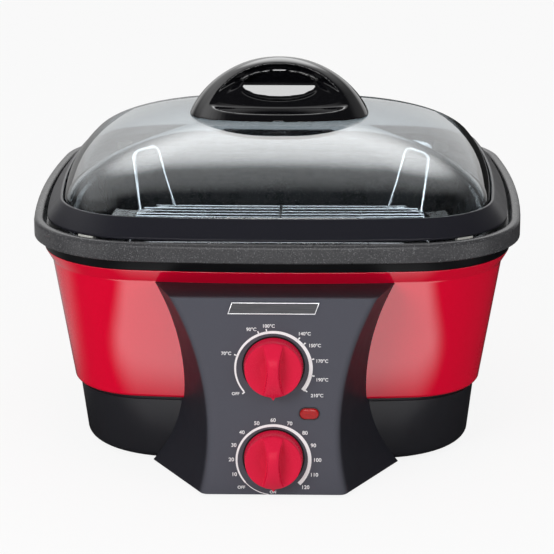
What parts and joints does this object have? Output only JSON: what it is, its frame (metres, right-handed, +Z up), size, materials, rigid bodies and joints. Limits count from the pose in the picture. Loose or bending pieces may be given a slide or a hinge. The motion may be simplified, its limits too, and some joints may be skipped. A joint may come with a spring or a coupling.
{
  "type": "multicooker",
  "caption": "Square counter-top cooker: red jacket on a black base, front pod with turning knobs, lift-out pot, wire rack with loop handles and a lift-off domed glass lid with a scooped grip.",
  "frame": {"origin": "centre of the footprint box, on the surface that the feet stand on; the pot axis is 23 mm behind it", "axes": "+Z up, +X to the right seen from the front, +Y to the back; the knobs face -Y"},
  "size_m": [0.37, 0.416, 0.2787],
  "materials": {
    "base_black": "satin moulded plastic",
    "rubber_black": "matte rubber",
    "steel": "plain steel",
    "jacket_red": "glossy red enamel",
    "collar_black": "satin black plastic",
    "liner_aluminium": "plain sheet",
    "plate_aluminium": "cast",
    "ceramic_white": "ceramic white",
    "pod_black": "satin black plastic",
    "fascia_grey": "satin grey plastic",
    "badge_silver": "brushed",
    "lens_red": "clear red plastic",
    "lamp_glass": "clear glass",
    "switch_white": "plain plastic",
    "knob_red": "glossy red plastic",
    "pot_nonstick": "speckled grey non-stick coating",
    "wire_chrome": "polished chrome",
    "lid_grey": "glossy charcoal",
    "glass_clear": "clear glass",
    "silicone_pale": "pale silicone",
    "grip_black": "glossy charcoal plastic"
  },
  "bodies": {
    "housing": {"base_tray": "base_black", "rubber_feet": "rubber_black", "tie_screws": "steel", "tie_nuts": "steel", "jacket": "jacket_red", "collar_ring": "collar_black", "inner_liner": "liner_aluminium", "heating_plate": "plate_aluminium", "heating_element": "steel", "heater_posts": "steel", "thermal_cutout": "ceramic_white", "terminal_block": "ceramic_white", "cord_gland": "rubber_black", "control_pod": "pod_black", "pod_fascia": "fascia_grey", "pod_screws": "steel", "badge_plate": "badge_silver", "lamp_lens": "lens_red", "pilot_lamp": "lamp_glass", "thermostat_body": "switch_white", "timer_body": "switch_white"},
    "temp_dial": {"temp_spindle": "steel", "temp_knob": "knob_red"},
    "timer_dial": {"timer_spindle": "steel", "timer_knob": "knob_red"},
    "pot": {"cooking_pot": "pot_nonstick"},
    "rack": {"rack_frame": "wire_chrome", "rack_grid": "wire_chrome", "rack_cross": "wire_chrome", "rack_legs": "wire_chrome", "rack_handle_left": "wire_chrome", "rack_handle_right": "wire_chrome"},
    "lid": {"lid_frame": "lid_grey", "lid_glass": "glass_clear", "lid_bumpers": "silicone_pale", "lid_grip": "grip_black", "lid_washers": "rubber_black", "lid_screws": "steel"}
  },
  "joints": [
    {"name": "temp_turn", "type": "hinge", "parent": "housing", "child": "temp_dial", "pos_m": [0, -0.19, 0.0985], "axis": [0, 1, 0], "range_deg": [0, 330]},
    {"name": "timer_turn", "type": "hinge", "parent": "housing", "child": "timer_dial", "pos_m": [0, -0.19, 0.03], "axis": [0, 1, 0], "range_deg": [0, 330]},
    {"name": "pot_lift", "type": "slide", "parent": "housing", "child": "pot", "axis": [0, 0, 1], "range_m": [0, 0.15]},
    {"name": "rack_lift", "type": "slide", "parent": "pot", "child": "rack", "axis": [0, 0, 1], "range_m": [0, 0.15]},
    {"name": "lid_lift", "type": "slide", "parent": "rack", "child": "lid", "axis": [0, 0, 1], "range_m": [0, 0.15]}
  ]
}
